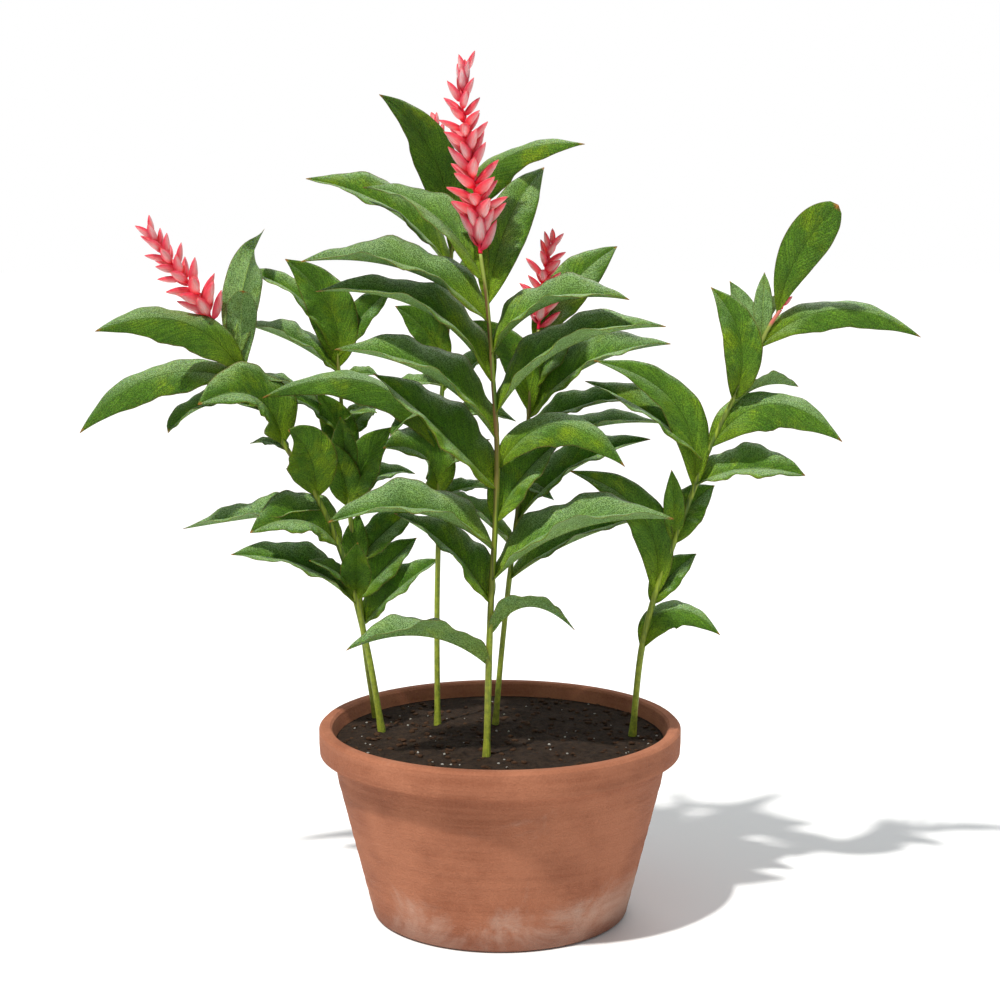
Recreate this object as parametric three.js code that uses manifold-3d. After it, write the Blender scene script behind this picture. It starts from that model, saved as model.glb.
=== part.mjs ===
// A clump of red ginger in a plain round pot: six leafy canes, their flower spikes, soil and pot.
// Millimetres, +Z up. The origin is the centre of the pot's underside, and -Y is the front.
import * as THREE from 'three';
import { mergeVertices } from 'three/addons/utils/BufferGeometryUtils.js';
import Module from 'manifold-3d';

const wasm = await Module();
wasm.setup();

// Driving dimensions.
const POT_HEIGHT = 340;
const POT_RIM_RADIUS = 318;
const POT_FOOT_RADIUS = 225;
const POT_WALL = 14;
const POT_FLOOR = 16;
const RIM_BAND_HEIGHT = 52;
const RIM_BAND_DEPTH = 9;
const POT_SIDES = 32;
const DRAIN_HOLE_RADIUS = 12;
const DRAIN_CIRCLE_RADIUS = 120;
const DRAIN_HOLES = 3;
const SOIL_BELOW_RIM = 26;
const SOIL_MOUND = 7;
const SOIL_UNEVEN = 2.2;
const FIT_GAP = 0.3;
const ROOTED_DEPTH = 70;
const SOCKET_ABOVE = 40;
const CANE_SIDES = 6;
const CANE_STEP = 110;
const CANE_TAPER = 0.42;
const BLADE_THICKNESS = 1.3;
const BRACT_TURN = THREE.MathUtils.degToRad(137.5);
const UPRIGHT_LEAN = 18;
const SPREAD_LEAN = 44;
const LOWER_TIER_AT = 0.27;
const TIER_SPACING = 0.43;
const TOP_SHORTENING = 0.4;

const SOIL_LEVEL = POT_HEIGHT - SOIL_BELOW_RIM;

const leafGreen = new THREE.MeshStandardMaterial({ color: 0x3f7a2c, roughness: 0.55, metalness: 0 });
const bractRed = new THREE.MeshStandardMaterial({ color: 0xe0525f, roughness: 0.45, metalness: 0 });
const plainClay = new THREE.MeshStandardMaterial({ color: 0xb9714f, roughness: 0.85, metalness: 0 });
const darkSoil = new THREE.MeshStandardMaterial({ color: 0x3a2a1e, roughness: 1, metalness: 0 });

// Turns a closed three.js geometry into a solid: shared vertices merged, flat slivers at poles dropped.
function solidFrom(geometry) {
  const bare = geometry.index ? geometry.toNonIndexed() : geometry.clone();
  bare.deleteAttribute('normal');
  bare.deleteAttribute('uv');
  const merged = mergeVertices(bare, 1e-4);
  const triangles = [];
  for (let i = 0; i < merged.index.count; i += 3) {
    const [a, b, c] = [merged.index.getX(i), merged.index.getX(i + 1), merged.index.getX(i + 2)];
    if (a !== b && b !== c && c !== a) triangles.push(a, b, c);
  }
  const vertProperties = new Float32Array(merged.attributes.position.array);
  if (signedVolume(vertProperties, triangles) < 0) triangles.reverse();
  const triVerts = new Uint32Array(triangles);
  return new wasm.Manifold(new wasm.Mesh({ numProp: 3, vertProperties, triVerts }));
}

function signedVolume(positions, triangles) {
  const corner = (index) => new THREE.Vector3().fromArray(positions, 3 * index);
  let volume = 0;
  for (let i = 0; i < triangles.length; i += 3) {
    const [a, b, c] = [corner(triangles[i]), corner(triangles[i + 1]), corner(triangles[i + 2])];
    volume += a.dot(b.cross(c)) / 6;
  }
  return volume;
}

function joined(solids) {
  return solids.reduce((whole, piece) => whole.add(piece));
}

function namedMesh(name, solid, material) {
  const mesh = solid.getMesh();
  const geometry = new THREE.BufferGeometry();
  geometry.setAttribute('position', new THREE.Float32BufferAttribute(mesh.vertProperties, 3));
  geometry.setIndex(new THREE.Uint32BufferAttribute(mesh.triVerts, 1));
  geometry.computeVertexNormals();
  const result = new THREE.Mesh(geometry, material);
  result.name = name;
  return result;
}

// Skins a row of closed rings of equal count. From side "flipFrom" on, the quads are split the other
// way, so that a thin blade has the same triangles on its lower face as on its upper one.
function loft(rings, caps, flipFrom = Infinity) {
  const sides = rings[0].length;
  const positions = rings.flat().flatMap((point) => point.toArray());
  const index = [];
  for (let i = 0; i < rings.length - 1; i += 1) {
    for (let j = 0; j < sides; j += 1) {
      const a = i * sides + j;
      const b = i * sides + ((j + 1) % sides);
      if (j < flipFrom) index.push(a, b, b + sides, a, b + sides, a + sides);
      else index.push(a, b, a + sides, b, b + sides, a + sides);
    }
  }
  const last = (rings.length - 1) * sides;
  for (const [a, b, c] of caps) {
    index.push(a, c, b);
    index.push(last + a, last + b, last + c);
  }
  const geometry = new THREE.BufferGeometry();
  geometry.setAttribute('position', new THREE.Float32BufferAttribute(positions, 3));
  geometry.setIndex(index);
  return geometry;
}

function fanCaps(sides) {
  return Array.from({ length: sides - 2 }, (_, j) => [0, j + 1, j + 2]);
}

// A round rod along a curve, its radius given at each fraction of the length.
function rodAlong(curve, steps, sides, radiusAt) {
  const rings = [];
  for (let i = 0; i <= steps; i += 1) {
    const fraction = i / steps;
    const centre = curve.getPointAt(fraction);
    const along = curve.getTangentAt(fraction);
    const sideways = new THREE.Vector3(0, -1, 0).cross(along).normalize();
    const across = along.clone().cross(sideways).normalize();
    const radius = radiusAt(fraction);
    const ring = [];
    for (let j = 0; j < sides; j += 1) {
      const angle = (2 * Math.PI * j) / sides;
      ring.push(centre.clone()
        .addScaledVector(sideways, radius * Math.cos(angle))
        .addScaledVector(across, radius * Math.sin(angle)));
    }
    rings.push(ring);
  }
  return solidFrom(loft(rings, fanCaps(sides)));
}

// One leaf. Its midrib leaves the cane at "root" and arches to root + reach, the middle standing "bow"
// above the straight line. "turn" degrees bring the upper face from facing up to facing the front, and
// "twist" turns it further towards the tip. The halves are folded up by "fold" degrees, or hang down
// from the midrib where it is negative, and their edges wave. Every leaf is a trough at its foot, and
// a leaf marked 'blunt' is broadest near its tip.
const BLADE_SHAPE = [[0, 0.08], [0.12, 0.56], [0.33, 0.95], [0.58, 0.96], [0.82, 0.56], [1, 0.02]];
const BLUNT_SHAPE = [[0, 0.08], [0.12, 0.34], [0.33, 0.68], [0.58, 0.96], [0.84, 0.9], [1, 0.06]];
const ROOT_FOLD = 34;
const EDGE_DROP = 11;
const OPEN_BY = 0.45;
const TWIST_FROM = 0.35;
const HIGHEST_AT = 0.46;
const EDGE_WAVE = 0.055;
const WAVE_RATE = 17;
const WAVE_LAG = 2.1;
const BLADE_CAPS = [[0, 1, 4], [0, 4, 5], [1, 2, 3], [1, 3, 4]];

function blade(root, [right, away, up, bow, width, turn, fold, twist, end]) {
  const reach = new THREE.Vector3(right, away, up);
  const chord = reach.clone().normalize();
  const rise = new THREE.Vector3(0, 0, 1).addScaledVector(chord, -chord.z).normalize();
  const middle = root.clone().addScaledVector(reach, HIGHEST_AT).addScaledVector(rise, 2 * bow);
  const midrib = new THREE.QuadraticBezierCurve3(root, middle, root.clone().add(reach));
  const rings = (end === 'blunt' ? BLUNT_SHAPE : BLADE_SHAPE).map(([fraction, share]) => {
    const centre = midrib.getPoint(fraction);
    const along = midrib.getTangent(fraction);
    const lean = THREE.MathUtils.degToRad(turn + twist * (fraction - TWIST_FROM));
    const facing = new THREE.Vector3(0, -Math.sin(lean), Math.cos(lean));
    const normal = facing.clone().addScaledVector(along, -facing.dot(along)).normalize();
    const across = along.clone().cross(normal);
    const opened = THREE.MathUtils.smoothstep(fraction, 0, OPEN_BY);
    const raised = THREE.MathUtils.degToRad(THREE.MathUtils.lerp(ROOT_FOLD, fold, opened) - EDGE_DROP);
    const half = (share * width) / 2;
    const out = half * Math.cos(raised);
    const wave = EDGE_WAVE * width * share;
    const phase = WAVE_RATE * fraction + width + up;
    const leftRise = half * Math.sin(raised) + wave * Math.sin(phase);
    const rightRise = half * Math.sin(raised) + wave * Math.sin(phase + WAVE_LAG);
    const left = centre.clone().addScaledVector(across, -out).addScaledVector(normal, leftRise);
    const edge = centre.clone().addScaledVector(across, out).addScaledVector(normal, rightRise);
    const thin = normal.clone().multiplyScalar(-BLADE_THICKNESS * (fraction === 1 ? 0.6 : 1));
    return [left, centre, edge, edge.clone().add(thin), centre.clone().add(thin), left.clone().add(thin)];
  });
  return solidFrom(loft(rings, BLADE_CAPS, 3));
}

// A cane follows its hand-chosen points, straight below the soil, with its leaves fused to it.
function canePath(points) {
  const [foot, next] = [new THREE.Vector3(...points[0]), new THREE.Vector3(...points[1])];
  const down = foot.clone().sub(next).normalize();
  const buried = foot.clone().addScaledVector(down, ROOTED_DEPTH);
  return new THREE.CatmullRomCurve3(
    [buried, ...points.map((point) => new THREE.Vector3(...point))], false, 'centripetal');
}

function pointAtHeight(curve, height) {
  let [low, high] = [0, 1];
  for (let i = 0; i < 40; i += 1) {
    const middle = (low + high) / 2;
    if (curve.getPointAt(middle).z < height) low = middle;
    else high = middle;
  }
  return curve.getPointAt(low);
}

function caneRadius(thickness) {
  return (fraction) => (thickness / 2) * (1 - CANE_TAPER * fraction ** 1.6);
}

function leafyCane({ points, thickness, leaves }) {
  const path = canePath(points);
  const steps = Math.ceil(path.getLength() / CANE_STEP);
  const cane = rodAlong(path, steps, CANE_SIDES, caneRadius(thickness));
  const blades = leaves.map(([height, ...shape]) => blade(pointAtHeight(path, height), shape));
  return joined([cane, ...blades]);
}

function caneSocket({ points, thickness }) {
  const path = canePath(points);
  const foot = path.points[0];
  const down = foot.clone().sub(path.points[1]).normalize();
  const socketPath = new THREE.LineCurve3(
    foot.clone().addScaledVector(down, FIT_GAP),
    path.points[1].clone().addScaledVector(down, -SOCKET_ABOVE),
  );
  return rodAlong(socketPath, 1, CANE_SIDES, () => thickness / 2 + FIT_GAP);
}

// A flower spike: pointed boat-shaped bracts in a spiral round a slim stalk, each keeled below and
// hollowed above. They are longest at the foot and lean out furthest in two tiers, by "tierLean"
// degrees. In a bud, whose spread is less than 1, they stay half closed.
const CORE_STEPS = 6;
const CORE_SIDES = 4;
const BRACT_STATIONS = [[0, 0, 0], [0.4, 1, 0.02], [0.74, 0.76, 0.06], [1, 0, 0.2]];
const BRACT_WIDTH = 0.38;
const BRACT_KEEL = 1.25;
const BRACT_HOLLOW = 0.3;

function bract(foot, outward, along, length, width) {
  const sideways = along.clone().cross(outward).normalize();
  const rings = BRACT_STATIONS.map(([fraction, share, flare]) => {
    const centre = foot.clone().addScaledVector(along, fraction * length)
      .addScaledVector(outward, flare * length);
    const half = (share * width) / 2;
    return [
      centre.clone().addScaledVector(sideways, -half),
      centre.clone().addScaledVector(outward, half * BRACT_KEEL),
      centre.clone().addScaledVector(sideways, half),
      centre.clone().addScaledVector(outward, half * BRACT_HOLLOW),
    ];
  });
  return solidFrom(loft(rings, [[0, 1, 2], [0, 2, 3]]));
}

function spike({ points, bracts, bractLength, stalk, spread, tierLean }) {
  const path = new THREE.CatmullRomCurve3(points.map((point) => new THREE.Vector3(...point)));
  const core = rodAlong(path, CORE_STEPS, CORE_SIDES, (fraction) => (stalk / 2) * (1 - 0.6 * fraction));
  const pieces = [core];
  for (let i = 0; i < bracts; i += 1) {
    const fraction = (i + 0.5) / bracts;
    const axis = path.getTangentAt(fraction);
    const angle = i * BRACT_TURN;
    const across = new THREE.Vector3(Math.cos(angle), Math.sin(angle), 0);
    const outward = across.addScaledVector(axis, -across.dot(axis)).normalize();
    const swell = Math.sin(Math.PI * (0.15 + 0.85 * fraction) ** 0.8);
    const tier = tierLean * Math.cos((2 * Math.PI * (fraction - LOWER_TIER_AT)) / TIER_SPACING);
    const length = bractLength * (1 - TOP_SHORTENING * fraction ** 1.3);
    const open = THREE.MathUtils.lerp(UPRIGHT_LEAN, SPREAD_LEAN, swell) + tier;
    const lean = THREE.MathUtils.degToRad(spread * open);
    const along = axis.clone().multiplyScalar(Math.cos(lean)).addScaledVector(outward, Math.sin(lean));
    const lower = outward.clone().multiplyScalar(Math.cos(lean)).addScaledVector(axis, -Math.sin(lean));
    pieces.push(bract(path.getPointAt(fraction), lower, along, length, length * BRACT_WIDTH));
  }
  return joined(pieces);
}

// Heights and places below are above the soil. Cane points: right, away, up. Each leaf: the height at
// which it leaves the cane, its reach to the right, away and up, its bow, its width, its turn, its
// fold and its twist.
const CANES = {
  cane_front: {
    thickness: 12.6,
    points: [
      [-23, -150, 0], [-16, -148, 251], [-7, -146, 420], [-5, -145, 530], [-12, -143, 655],
      [-22, -142, 780], [-32, -141, 850],
    ],
    leaves: [
      [164, -237, -30, 32, 39, 106, -12, 42, 45],
      [215, 142, -25, 14, 46, 68, -22, 40, 20],
      [270, -162, 25, 148, 18, 104, 16, 38, -10],
      [309, 299, -30, 108, 37, 140, 12, 42, -6],
      [360, -273, -35, 52, 41, 132, 14, 40, 12],
      [407, 112, 45, 134, 14, 84, 30, 34, 0],
      [463, -204, 15, 190, 4, 128, 22, 38, -8],
      [496, 210, -30, 8, 73, 74, 46, -14, 20],
      [546, -264, -25, 150, 38, 132, 16, 40, 6],
      [588, 279, -10, 144, 45, 122, 12, 42, 8],
      [639, -290, -5, 150, 54, 118, 16, 38, 0],
      [687, 224, -35, 90, 41, 114, 16, 38, 8],
      [738, -305, -25, 100, 41, 128, 20, 36, -14],
      [768, 96, 165, 224, 34, 78, 78, 14, 0],
      [802, -208, 150, 156, 39, 86, 22, 38, -14],
    ],
  },
  cane_middle: {
    thickness: 11.6,
    points: [
      [-112, 55, 0], [-112, 55, 208], [-109, 56, 345], [-104, 58, 567], [-90, 60, 725],
      [-82, 61, 867], [-71, 62, 933],
    ],
    leaves: [
      [415, 96, 25, 15, 10, 48, 20, 34, 0],
      [423, -92, -90, 94, 36, 104, 40, 30, 10],
      [456, 90, 60, 58, 9, 58, 10, 36, 0],
      [500, -298, -98, 104, 79, 80, 42, -20, 14],
      [552, 133, -10, 2, 13, 62, 16, 36, 0],
      [582, -88, -40, -50, 11, 52, 14, 36, 0],
      [605, 148, 30, 70, 17, 78, 16, 34, 0],
      [616, -100, 45, -8, 7, 52, 20, 30, 0],
      [652, -84, -30, 104, 14, 64, 60, 24, 0],
      [780, 96, -30, 52, 20, 54, 24, 34, 0],
      [815, -248, -10, 158, 32, 112, 20, 36, 20],
      [846, 223, -160, 182, 72, 76, 50, -16, 8],
      [868, -116, -150, 240, 48, 76, 72, 20, -14],
    ],
  },
  cane_centre_right: {
    thickness: 11.6,
    points: [
      [-9, 55, 0], [2, 55, 131], [18, 56, 285], [35, 58, 423], [47, 60, 520], [55, 62, 625],
      [67, 64, 713],
    ],
    leaves: [
      [272, 266, 0, 115, 18, 102, 14, 38, 0],
      [328, -122, -50, 106, 7, 80, 20, 36, 0],
      [375, 236, 10, 145, 27, 116, 16, 38, 6],
      [438, 58, -20, -22, 4, 30, 20, 26, 0],
      [484, 251, 40, 60, 27, 80, 14, 36, -8],
      [530, 205, 10, 62, 17, 90, 16, 36, 8],
      [560, 246, -25, 130, 32, 124, 24, 38, -12],
      [570, -118, -45, 160, 40, 64, 60, 22, 0],
      [608, 93, 60, 110, 5, 74, 18, 34, 0],
      [686, 148, 135, 168, 24, 80, 56, 18, 30],
    ],
  },
  cane_left: {
    thickness: 12.4,
    points: [
      [-209, 15, 0], [-223, 14, 95], [-237, 13, 172], [-262, 12, 278], [-284, 10, 347],
      [-319, 8, 428], [-374, 4, 520], [-437, 0, 631], [-490, -4, 729.4],
    ],
    leaves: [
      [235, -217, -20, 92, 26, 100, 16, 36, 14],
      [242, 8, -55, 112, 12, 58, 70, 30, 0],
      [262, -70, -60, 62, 10, 40, 40, 24, 0],
      [338, -149, -50, 33, 36, 112, 34, 34, 20],
      [405, -250, 30, -40, 3, 96, 16, 34, -20],
      [427, -38, -90, 126, 26, 92, 66, 20, 0],
      [508, -72, 50, 6, 8, 42, 16, 30, 0],
      [522, -129, -110, 77, 52, 120, 40, 30, 20],
      [575, -173, 30, -40, 34, 68, 24, 36, 0, 'blunt'],
      [625, -290, -10, -85, 56, 78, 46, -14, 26],
      [635, 124, 90, -55, 8, 66, 16, 34, 0],
      [640, 6, -20, 145, 22, 56, -70, 20, 0, 'blunt'],
      [641, -219, -158, 84, 56, 86, 52, -18, 20],
      [664, 36, 158, 222, 36, 68, -68, 24, 30],
    ],
  },
  cane_rear_left: {
    thickness: 12,
    points: [
      [-226, 120, 0], [-241, 120, 100], [-255, 120, 235], [-268, 121, 360], [-279, 122, 506],
      [-286, 123, 629], [-290, 124, 672],
    ],
    leaves: [
      [175, 140, -15, 124, 7, 88, 26, 36, 0],
      [225, 103, 25, 106, 5, 70, 40, 32, 0],
      [272, 5, 10, 106, 10, 50, 74, 24, 0],
      [288, 119, 50, 104, 7, 70, 40, 30, 0],
      [385, 116, 60, 58, 30, 66, 24, 34, 0],
      [392, -30, -50, 124, 8, 62, 70, 24, 0],
      [398, 80, -40, 142, 12, 78, 60, 30, 0],
      [440, -5, -70, 121, 6, 48, 74, 24, 0],
      [466, -47, -30, 134, 14, 66, 66, 24, 0],
      [506, 56, 55, 66, 10, 62, 28, 30, 0],
      [512, -128, -20, 87, 18, 68, 24, 34, 0],
      [540, 64, -30, 24, 10, 36, 20, 30, 0],
      [598, 70, -45, 34, 16, 42, 30, 32, 0],
      [632, -169, -50, 92, 13, 92, 20, 36, -16],
      [644, -91, -10, 190, 32, 90, 64, 30, 0],
      [662, 105, 20, 125, 12, 60, 44, 26, 0],
      [666, -172, 20, 148, 31, 76, 20, 36, 0],
    ],
  },
  cane_right: {
    thickness: 12.4,
    points: [
      [233, -8, 0], [248, -9, 161], [270, -10, 256], [302, -11, 350], [338, -12, 452],
      [362, -13, 517], [391, -14, 581], [434, -15, 670], [458, -16, 722], [478, -16, 753],
    ],
    leaves: [
      [161, 135, -20, 28, 59, 66, 44, -20, 10],
      [240, 79, 30, 84, 10, 56, 44, 30, 0],
      [256, -151, -10, 220, 60, 74, 58, 26, -10],
      [347, 73, 30, 98, 16, 72, 48, 28, 0],
      [350, -8, -25, 130, 6, 40, 70, 30, 0],
      [445, -176, -25, 222, 64, 72, 56, 24, -14],
      [450, 188, -10, 18, 20, 100, 26, 34, 20],
      [492, -205, 45, 134, 14, 92, 20, 34, 0],
      [517, 222, -30, 12, 70, 90, 54, -22, 8],
      [577, 131, 60, 38, 24, 70, -24, 32, 0],
      [599, -38, 30, 190, 38, 72, 74, 34, -20],
      [678, -40, 64, 120, 8, 46, -66, 24, 0],
      [688, 274, -10, 18, 56, 66, 54, -18, 10],
      [688, 60, 90, 84, 14, 56, -56, 24, 0],
      [700, 7, 40, 114, 8, 34, 60, 20, 0],
      [744, 87, -75, 185, 20, 78, 74, 12, 0, 'blunt'],
    ],
  },
};

const SPIKES = {
  bloom_front: {
    points: [[-32, -141, 851], [-36, -147, 920], [-49, -154, 1003], [-60, -158, 1080], [-58, -160, 1141]],
    bracts: 56, bractLength: 60, stalk: 7, spread: 1, tierLean: 15,
  },
  bloom_middle: {
    points: [[-71, 62, 934.2], [-80, 76, 985], [-98, 88, 1035], [-112, 96, 1070]],
    bracts: 20, bractLength: 44, stalk: 6, spread: 1, tierLean: 4,
  },
  bloom_centre_right: {
    points: [[67, 64, 714], [72, 57, 770], [79, 50, 822], [90, 46, 864]],
    bracts: 28, bractLength: 51, stalk: 6, spread: 1, tierLean: 4,
  },
  bloom_left: {
    points: [[-490.5, -4, 730], [-517, -5, 778], [-548, -6, 816], [-577, -7, 856], [-592, -8, 879]],
    bracts: 35, bractLength: 57, stalk: 6, spread: 1, tierLean: 5,
  },
  bud_right: {
    points: [[478.8, -15.5, 754.2], [487, -4, 776], [494, 8, 800], [500, 20, 824]],
    bracts: 8, bractLength: 26, stalk: 6, spread: 0.4, tierLean: 0,
  },
};

// The pot is turned clay: a tapered wall, a straight rim band, and three drain holes off its centre.
function wallRadius(height) {
  const top = POT_RIM_RADIUS - RIM_BAND_DEPTH;
  return POT_FOOT_RADIUS + (top - POT_FOOT_RADIUS) * (height / POT_HEIGHT);
}

function pot() {
  const bandFoot = POT_HEIGHT - RIM_BAND_HEIGHT;
  const profile = [
    [0, 0], [POT_FOOT_RADIUS - 6, 0], [POT_FOOT_RADIUS + 1, 6], [wallRadius(bandFoot), bandFoot],
    [POT_RIM_RADIUS, bandFoot + 6], [POT_RIM_RADIUS, POT_HEIGHT - 5], [POT_RIM_RADIUS - 5, POT_HEIGHT],
    [wallRadius(POT_HEIGHT) - POT_WALL + 4, POT_HEIGHT], [wallRadius(POT_HEIGHT) - POT_WALL, POT_HEIGHT - 4],
    [wallRadius(POT_FLOOR) - POT_WALL, POT_FLOOR], [0, POT_FLOOR],
  ];
  const turned = new THREE.LatheGeometry(profile.map(([x, y]) => new THREE.Vector2(x, y)), POT_SIDES);
  turned.rotateX(Math.PI / 2);
  let body = solidFrom(turned);
  for (let i = 0; i < DRAIN_HOLES; i += 1) {
    const angle = (2 * Math.PI * i) / DRAIN_HOLES + Math.PI / 2;
    const hole = new THREE.CylinderGeometry(DRAIN_HOLE_RADIUS, DRAIN_HOLE_RADIUS, 3 * POT_FLOOR, 16);
    hole.rotateX(Math.PI / 2);
    hole.translate(DRAIN_CIRCLE_RADIUS * Math.cos(angle), DRAIN_CIRCLE_RADIUS * Math.sin(angle), 0);
    body = body.subtract(solidFrom(hole));
  }
  return body;
}

// The soil fills the pot to just under the rim, a little higher and uneven round the canes.
function soil() {
  const inner = (height) => wallRadius(height) - POT_WALL - FIT_GAP * 1.5;
  const floor = POT_FLOOR + FIT_GAP;
  const rings = [1, 0.75, 0.38];
  const profile = [[0, floor], [inner(floor), floor], [inner(SOIL_LEVEL), SOIL_LEVEL]];
  rings.slice(1).forEach((share) => profile.push([share * inner(SOIL_LEVEL), SOIL_LEVEL + 0.01]));
  profile.push([0, SOIL_LEVEL + 0.01]);
  const turned = new THREE.LatheGeometry(profile.map(([x, y]) => new THREE.Vector2(x, y)), POT_SIDES);
  turned.rotateX(Math.PI / 2);
  const places = turned.attributes.position;
  for (let i = 0; i < places.count; i += 1) {
    const [x, y, z] = [places.getX(i), places.getY(i), places.getZ(i)];
    if (z <= SOIL_LEVEL) continue;
    const share = 1 - (x * x + y * y) / inner(SOIL_LEVEL) ** 2;
    const uneven = Math.sin(x / 31 + 1) * Math.cos(y / 27) + 0.6 * Math.sin(x / 13 - y / 17);
    places.setZ(i, SOIL_LEVEL + SOIL_MOUND * share + SOIL_UNEVEN * uneven * Math.min(1, 4 * share));
  }
  const sockets = Object.values(CANES).map(caneSocket);
  const filling = solidFrom(turned);
  return sockets.reduce((rest, socket) => rest.subtract(socket.translate([0, 0, SOIL_LEVEL])), filling);
}

const plantInPot = new THREE.Group();
plantInPot.name = 'potted_red_ginger';

const clump = new THREE.Group();
clump.position.z = SOIL_LEVEL;
for (const [name, cane] of Object.entries(CANES)) clump.add(namedMesh(name, leafyCane(cane), leafGreen));
for (const [name, bloom] of Object.entries(SPIKES)) clump.add(namedMesh(name, spike(bloom), bractRed));
plantInPot.add(clump);
plantInPot.add(namedMesh('pot', pot(), plainClay));
plantInPot.add(namedMesh('soil', soil(), darkSoil));

export default plantInPot;
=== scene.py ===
import math
import random

import bmesh
import bpy
from mathutils import Matrix, Vector, noise


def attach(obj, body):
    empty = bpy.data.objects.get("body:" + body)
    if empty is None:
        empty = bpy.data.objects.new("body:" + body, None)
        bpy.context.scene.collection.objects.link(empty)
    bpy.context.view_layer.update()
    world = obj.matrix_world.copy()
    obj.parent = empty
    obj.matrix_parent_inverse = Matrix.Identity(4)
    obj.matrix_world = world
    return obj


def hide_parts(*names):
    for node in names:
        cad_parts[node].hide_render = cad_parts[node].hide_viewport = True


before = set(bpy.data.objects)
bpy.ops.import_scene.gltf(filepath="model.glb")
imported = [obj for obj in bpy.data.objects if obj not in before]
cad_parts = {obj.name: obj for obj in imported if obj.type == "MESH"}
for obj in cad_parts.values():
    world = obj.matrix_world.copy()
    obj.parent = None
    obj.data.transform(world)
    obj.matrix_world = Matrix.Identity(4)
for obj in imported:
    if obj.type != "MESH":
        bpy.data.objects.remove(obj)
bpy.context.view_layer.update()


# The pot is a plain round planter of fired clay, turned on a wheel, and stands loose on the ground.
# A straight band strengthens its rim, two fine lines are cut below the band, and three holes in its
# floor let water out.
MM = 0.001
POT_HEIGHT = 340
POT_RIM_RADIUS = 318
POT_FOOT_RADIUS = 225
POT_WALL = 14
POT_FLOOR = 16
RIM_BAND_HEIGHT = 52
RIM_BAND_DEPTH = 9
POT_STEPS = 144
WALL_STEPS = 40
TURNING_RIPPLE = 0.45
RIPPLE_SPACING = 4.1
RIPPLE_DRIFT = 31
CUT_LINES = (262, 270)
CUT_LINE_DEPTH = 1.4
CUT_LINE_HALF = 3.6
FOOT_ROUNDING = 8
DRAIN_HOLE_RADIUS = 12
DRAIN_CIRCLE_RADIUS = 120
DRAIN_HOLES = 3
POT_EDGE_ROUNDING = 2.2
CLAY_DARK = (0.26, 0.085, 0.040, 1)
CLAY_LIGHT = (0.42, 0.165, 0.09, 1)
CLAY_BLOOM = (0.54, 0.38, 0.30, 1)
CLAY_DAMP = (0.17, 0.055, 0.03, 1)


def wall_radius(height):
    top = POT_RIM_RADIUS - RIM_BAND_DEPTH
    return POT_FOOT_RADIUS + (top - POT_FOOT_RADIUS) * height / POT_HEIGHT


def turned(profile, steps):
    """A closed shape spun round the Z axis from (radius, height) corners in millimetres."""
    bm = bmesh.new()
    corners = [bm.verts.new((radius * MM, 0, height * MM)) for radius, height in profile]
    edges = [bm.edges.new(pair) for pair in zip(corners, corners[1:])]
    bmesh.ops.spin(bm, geom=corners + edges, cent=(0, 0, 0), axis=(0, 0, 1),
                   angle=math.tau, steps=steps, use_merge=True)
    bmesh.ops.remove_doubles(bm, verts=bm.verts, dist=0.00002)
    bmesh.ops.recalc_face_normals(bm, faces=bm.faces)
    return bm


def finished_piece(name, bm, materials, node):
    """Makes the piece from its mesh. It rides on the one body and stands for its CAD node."""
    mesh = bpy.data.meshes.new(name)
    bm.to_mesh(mesh)
    bm.free()
    mesh.shade_smooth()
    for material in materials:
        mesh.materials.append(material)
    piece = bpy.data.objects.new(name, mesh)
    bpy.context.scene.collection.objects.link(piece)
    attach(piece, "root")
    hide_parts(node)
    return piece


def add_node(tree, kind, inputs=None, **settings):
    """One shader node. An input given as a socket is linked, and any other is set."""
    made = tree.nodes.new(kind)
    for name, value in settings.items():
        setattr(made, name, value)
    for name, value in (inputs or {}).items():
        if isinstance(value, bpy.types.NodeSocket):
            tree.links.new(value, made.inputs[name])
        else:
            made.inputs[name].default_value = value
    return made


def sum_up(tree, operation, first, second=0.0):
    made = add_node(tree, "ShaderNodeMath", {0: first, 1: second}, operation=operation)
    return made.outputs[0]


def between(tree, value, low, high, at_low=0.0, at_high=1.0):
    """Runs smoothly from at_low to at_high while value runs from low to high."""
    made = add_node(tree, "ShaderNodeMapRange", {"Value": value, 1: low, 2: high, 3: at_low, 4: at_high},
                    interpolation_type="SMOOTHSTEP")
    return made.outputs[0]


def blended(tree, share, first, second, blend_type="MIX"):
    made = add_node(tree, "ShaderNodeMix", {0: share, 6: first, 7: second},
                    data_type="RGBA", blend_type=blend_type)
    return made.outputs[2]


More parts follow.
